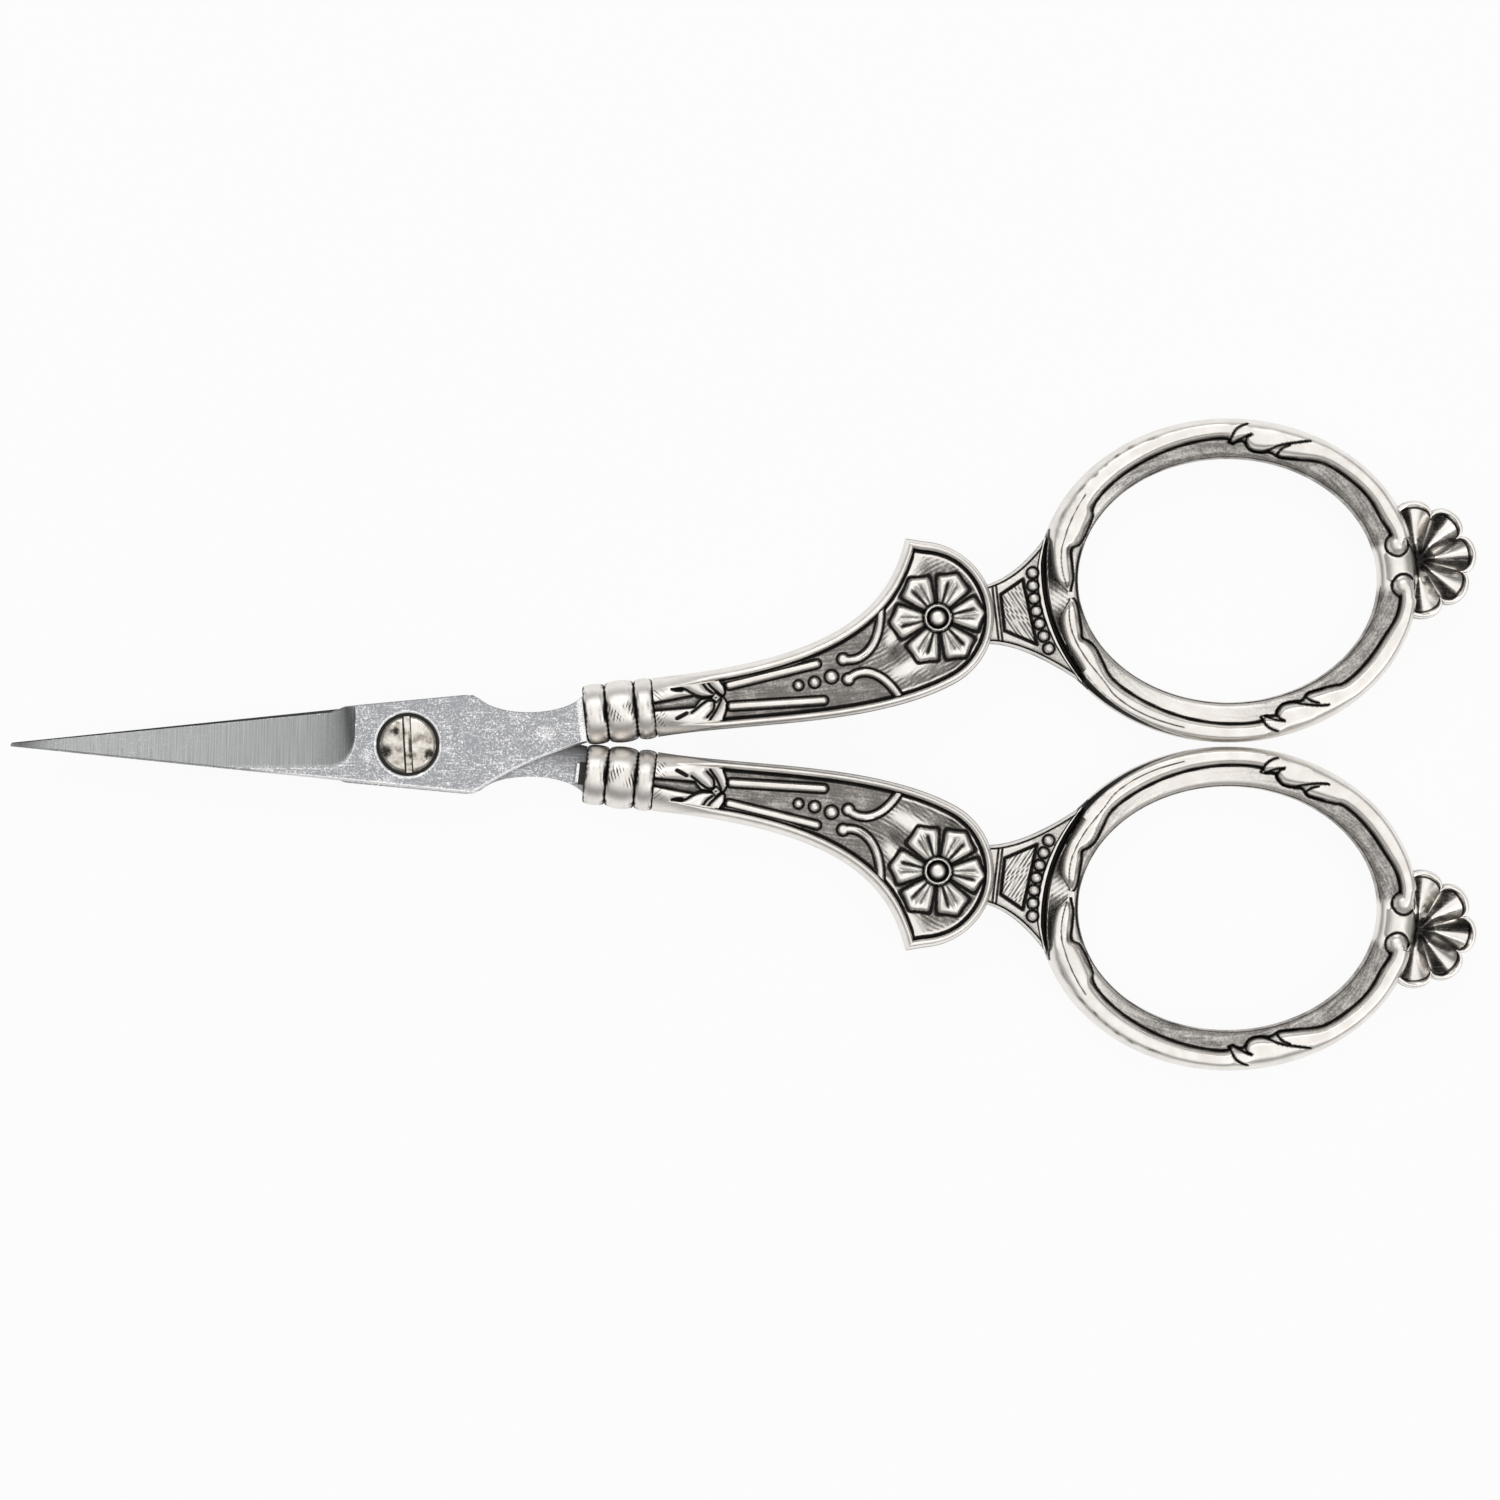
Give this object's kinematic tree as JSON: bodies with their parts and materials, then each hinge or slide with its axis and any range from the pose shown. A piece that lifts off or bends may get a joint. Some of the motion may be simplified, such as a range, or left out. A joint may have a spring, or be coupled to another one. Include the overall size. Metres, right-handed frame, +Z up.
{
  "type": "embroidery scissors",
  "caption": "Fine-pointed embroidery scissors with a slotted pivot screw and ornate cast handles: turned ferrules, rosette shanks, oval finger bows and fluted shell ends.",
  "frame": {"origin": "middle of the closed scissors' footprint, on the surface that they lie on", "axes": "+X from the points to the finger bows, +Y towards the front half's handle, +Z up out of the surface"},
  "size_m": [0.117, 0.0522, 0.0052],
  "materials": {
    "blade_steel": "stainless steel, speckled satin, ground bevel with fine cross lines",
    "screw_nickel": "worn nickel plate with a dull warm tint",
    "antique_silver": "silver plate over cast zinc, brushed, with dark patina in the hollows"
  },
  "bodies": {
    "rear_half": {"rear_blade": "blade_steel", "rear_ferrule": "antique_silver", "rear_handle": "antique_silver", "pivot_screw": "screw_nickel"},
    "front_half": {"front_blade": "blade_steel", "front_ferrule": "antique_silver", "front_handle": "antique_silver"}
  },
  "joints": [
    {"name": "pivot", "type": "hinge", "parent": "rear_half", "child": "front_half", "pos_m": [-0.02672, 0, 0.0026], "axis": [0, 0, 1], "range_deg": [0, 90]}
  ]
}
